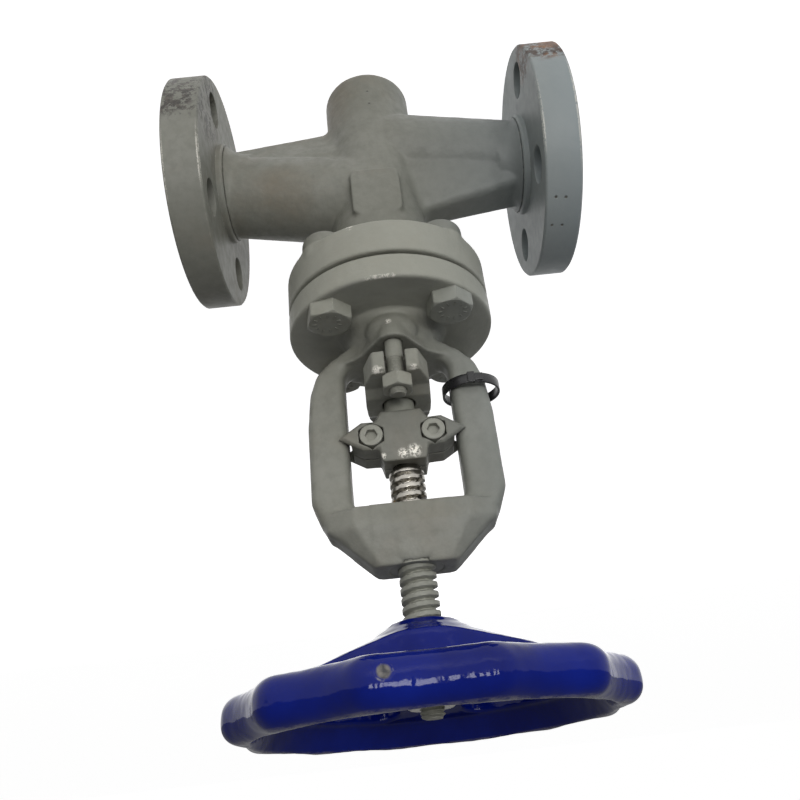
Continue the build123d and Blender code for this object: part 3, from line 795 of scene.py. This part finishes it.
# ---------------------------------------------------------------- stage
def camera():
    data = bpy.data.cameras.new("camera")
    data.lens = CAMERA_LENS
    data.clip_start = 0.01
    cam = placed("camera", data)
    cam.location = CAMERA_PLACE
    cam.rotation_euler = [math.radians(a) for a in CAMERA_TURN]
    bpy.context.scene.camera = cam


def ray_level(tree, rays, low, high):
    """low for most rays, and high for the kinds of ray named."""
    path = tree.nodes.new("ShaderNodeLightPath")
    kind = path.outputs[rays[0]]
    for name in rays[1:]:
        either = tree.nodes.new("ShaderNodeMath")
        either.operation = "MAXIMUM"
        tree.links.new(kind, either.inputs[0])
        tree.links.new(path.outputs[name], either.inputs[1])
        kind = either.outputs[0]
    level = tree.nodes.new("ShaderNodeMapRange")
    level.inputs["To Min"].default_value = low
    level.inputs["To Max"].default_value = high
    tree.links.new(kind, level.inputs["Value"])
    return level.outputs["Result"]


def floor():
    """A white floor that looks bright, throws little light on the valve and keeps its shadow."""
    material = bpy.data.materials.new("white_floor")
    material.use_nodes = True
    tree = material.node_tree
    shader = tree.nodes["Principled BSDF"]
    shader.inputs["Base Color"].default_value = (*FLOOR_COLOUR, 1)
    shader.inputs["Roughness"].default_value = 0.9
    shader.inputs["Emission Color"].default_value = (*WHITE, 1)
    rays = ("Is Camera Ray", "Is Glossy Ray", "Is Transmission Ray")
    glow = ray_level(tree, rays, FLOOR_BOUNCE, FLOOR_SEEN)
    tree.links.new(glow, shader.inputs["Emission Strength"])
    z = cad_box[0][2]
    signs = ((-1, -1), (1, -1), (1, 1), (-1, 1))
    corners = [(x * FLOOR_REACH, y * FLOOR_REACH, z) for x, y in signs]
    plane = mesh_object("floor", corners, [(0, 1, 2, 3)], material, smooth=False)


def sky():
    """A world that is white to the camera, grey in reflections and dim as a light."""
    world = bpy.data.worlds.new("world")
    world.use_nodes = True
    bpy.context.scene.world = world
    tree = world.node_tree
    back = tree.nodes["Background"]
    back.inputs["Color"].default_value = (*WHITE, 1)
    lit = ray_level(tree, ("Is Glossy Ray", "Is Transmission Ray"), SKY_LIGHT, SKY_REFLECTED)
    path = tree.nodes.new("ShaderNodeLightPath")
    level = tree.nodes.new("ShaderNodeMath")
    level.operation = "MAXIMUM"
    tree.links.new(lit, level.inputs[0])
    tree.links.new(path.outputs["Is Camera Ray"], level.inputs[1])
    tree.links.new(level.outputs[0], back.inputs["Strength"])


def lamp(name, place, size, power, colour, mirrored):
    """A soft lamp aimed at the middle of the valve. mirrored says whether gloss shows it."""
    data = bpy.data.lights.new(name, "AREA")
    data.shape = "RECTANGLE"
    data.size, data.size_y = size
    data.energy = power
    data.color = colour
    light = placed(name, data)
    light.location = place
    light.visible_glossy = mirrored
    aim = Vector(LAMP_TARGET) - Vector(place)
    light.rotation_euler = aim.to_track_quat("-Z", "Y").to_euler()


bpy.context.scene.view_settings.view_transform = "Standard"
camera()
floor()
sky()
for name, place, size, power, colour in SOFT_LAMPS:
    lamp(name, place, size, power, colour, mirrored=False)
for number, x in enumerate(GLINT_X):
    lamp(f"glint_{number}", (x, GLINT_Y, GLINT_Z), GLINT_SIZE, GLINT_POWER, WHITE, mirrored=True)

# ---------------------------------------------------------------- finishes
BODY_FLANGE_THICK = 17.7 * MM
SCUFFS = [x * MM for x in (-3, -1, 1, 3, 5, 7, 9)]  # along the bonnet flange's edge
SCUFF_REACH = 1.7 * MM

body_paint = paint_material(
    "paint_body", forged=1.0, tone=0.84, sharp=False,
    # painted light: a lighter grey band over the body's flange
    lit_band=(body_high[2] - BODY_FLANGE_THICK, body_high[2]),
    worn=[((0.0146, -0.0478, 0.0745), 0.0022)],
    stains=[
        ((0.020, -0.012, -0.045), 0.026),
        ((0.0, -0.014, -0.060), 0.014),
        ((0.05, -0.018, 0.020), 0.02),
    ],
    dots=[(-0.0011, -0.0242, -0.0435), (-0.0015, -0.0242, -0.0337)],
)
flange_out_paint = paint_material(
    "paint_outlet_flange", forged=0.15, tone=0.84,
    chips=[
        ((rim_out, -0.054, -0.026), 0.036, 0.52),
        ((rim_out + 0.004, -0.060, -0.010), 0.016, 0.51),
    ],
    worn=[
        ((flange_out[0][0], -0.056, 0.026), 0.018),
        ((flange_out[1][0], -0.053, 0.030), 0.024),
        ((rim_out, -0.004, 0.062), 0.007),
    ],
)
# tone 1.12 lightens the inlet flange's grey: painted light
flange_in_paint = paint_material(
    "paint_inlet_flange", forged=0.15, tone=1.12,
    chips=[((rim_in, -0.054, -0.030), 0.022, 0.52)],
    rust=[
        ((rim_in, -0.054, -0.030), 0.024, 0.47),
        ((flange_in[0][0], -0.054, -0.028), 0.018, 0.42),
    ],
    worn=[
        ((flange_in[1][0], -0.054, 0.030), 0.014),
        ((flange_in[0][0], -0.055, 0.020), 0.034),
        ((flange_in[0][0], -0.029, 0.055), 0.008),
    ],
    dots=[
        (-0.0881, -0.0309, 0.0538), (-0.0931, -0.0304, 0.0540),
        (-0.0868, -0.0171, 0.0596), (-0.0920, -0.0166, 0.0598),
    ],
)
bonnet_paint = paint_material(
    "paint_bonnet", forged=1.0, tone=0.86, sharp=False, edge_wear=0.45,
    # painted light: a lighter grey band over the bonnet's flange
    lit_band=(bonnet_low[2], bonnet_flange_top),
    worn=[(rim_point(x, bonnet_high[1], bonnet_flange_top), SCUFF_REACH) for x in SCUFFS]
    + [((0.0011, -0.0270, 0.1150), 0.0020)],
)
# tone 0.68 darkens the coupling's grey: painted shade
coupling_paint = paint_material(
    "paint_coupling", tone=0.68, sharp=False, edge_wear=0.6,
    worn=[
        ((-0.0045, -0.0116, 0.1735), 0.0038),
        ((0.0005, -0.0116, 0.1742), 0.0030),
        ((0.0095, -0.0112, 0.1745), 0.0018),
    ],
)
part_paint = paint_material("paint_parts", tone=1.12, edge_wear=0.6)
gland_paint = paint_material(
    "paint_gland", forged=0.2, sharp=False, edge_wear=0.8,
    worn=[((0.0085, -0.0295, 0.1420), 0.0036), ((-0.0080, -0.0295, 0.1420), 0.0026)],
)
stud_paint = paint_material("paint_stud", edge_wear=0.2)
enamel = enamel_material()
stainless = steel_material("stainless_turned", STEEL, 0.28, turned=0.3)
zinc = steel_material("zinc_steel", ZINC, 0.25)
spindle_finish = half_painted_metal("spindle_finish", SPINDLE_STEEL, 222 * MM, grease=0.8)
stem_finish = half_painted_metal("stem_finish", STEEL, 139 * MM)
bush_finish = half_painted_metal("bush_finish", BRONZE, 200 * MM)
nylon = plain_material("black_nylon", NYLON, 0.3)
graphite = plain_material("graphite", GRAPHITE, 0.6)

FINISHES = (
    (body_paint, ("body",)),
    (flange_out_paint, ("outlet_flange",)),
    (flange_in_paint, ("inlet_flange",)),
    (bonnet_paint, ("bonnet_yoke",)),
    (coupling_paint, ("coupling_front", "coupling_back")),
    (part_paint, ("bonnet_bolts", "coupling_screws", "coupling_nuts", "gland_nuts")),
    (gland_paint, ("gland_flange",)),
    (stud_paint, ("gland_studs",)),
    (stainless, ("seat_ring", "backseat_bush", "gland_bush", "disc", "disc_retainer")),
    (stem_finish, ("lower_stem",)),
    (graphite, ("bonnet_gasket", "packing_rings")),
    (bush_finish, ("yoke_bush",)),
    (nylon, ("cable_tie",)),
    (spindle_finish, ("spindle",)),
    (enamel, ("handwheel",)),
    (zinc, ("handwheel_washer", "handwheel_nut")),
)
for finish, names in FINISHES:
    for name in names:
        for slot in nodes[name].material_slots:
            slot.material = finish

# ---------------------------------------------------------------- skins and details
PIPE_FLANGES_FROM = 84 * MM  # along the pipe axis, where the machined flanges begin
BODY_FLANGE_FROM = 66 * MM
BONNET_FLANGE_TO = 108 * MM
BRIDGE_FROM = 198 * MM
BRIDGE_HALF = 17 * MM
CORNERS_FROM = 201 * MM
CORNERS_BEYOND = 27 * MM
STUD_HOOD = (12.5 * MM, 10.5 * MM, 9.0 * MM)
STUD_HOOD_Y, STUD_HOOD_Z = 17.0 * MM, 114.2 * MM
BUSH_SWELL = (10.5 * MM, 1.9 * MM, 9.5 * MM)
BUSH_SWELL_Y, BUSH_SWELL_Z = 11.4 * MM, 213.5 * MM


def is_bonnet_forged(p):
    """Above the bonnet flange, apart from the bridge round the yoke bush."""
    return p.z > BONNET_FLANGE_TO and not (p.z > BRIDGE_FROM and abs(p.x) < BRIDGE_HALF)


cast_skin(
    "body", "root", body_paint,
    voxel=0.75 * MM, passes=10, rough=0.35 * MM, wavelength=9 * MM,
    is_rough=lambda p: p.z < BODY_FLANGE_FROM and abs(p.x) < PIPE_FLANGES_FROM,
)
cast_skin(
    "bonnet_yoke", "root", bonnet_paint,
    voxel=0.75 * MM, passes=9, rough=0.3 * MM, wavelength=9 * MM,
    is_rough=is_bonnet_forged,
    swells=[
        ((0, -STUD_HOOD_Y, STUD_HOOD_Z), STUD_HOOD),
        ((0, STUD_HOOD_Y, STUD_HOOD_Z), STUD_HOOD),
        ((0, -BUSH_SWELL_Y, BUSH_SWELL_Z), BUSH_SWELL),
        ((0, BUSH_SWELL_Y, BUSH_SWELL_Z), BUSH_SWELL),
    ],
    corners=lambda p: p.z > CORNERS_FROM and abs(p.x) > CORNERS_BEYOND,
)
cast_skin(
    "gland_flange", "root", gland_paint,
    voxel=0.4 * MM, passes=7, rough=0.12 * MM, wavelength=5 * MM,
)
for half in ("coupling_front", "coupling_back"):
    cast_skin(
        half, "stem", coupling_paint,
        voxel=0.35 * MM, passes=1, rough=0.1 * MM, wavelength=5 * MM,
    )
cast_skin(
    "handwheel", "spindle", enamel,
    voxel=0.9 * MM, passes=3, rough=0.7 * MM, wavelength=14 * MM,
    dimple=(WHEEL_DIMPLE, DIMPLE_RADIUS, DIMPLE_DEPTH),
)
threaded_spindle(spindle_finish)
threaded_studs(stud_paint)
bolt_head_ticks(part_paint)
strap(nylon)
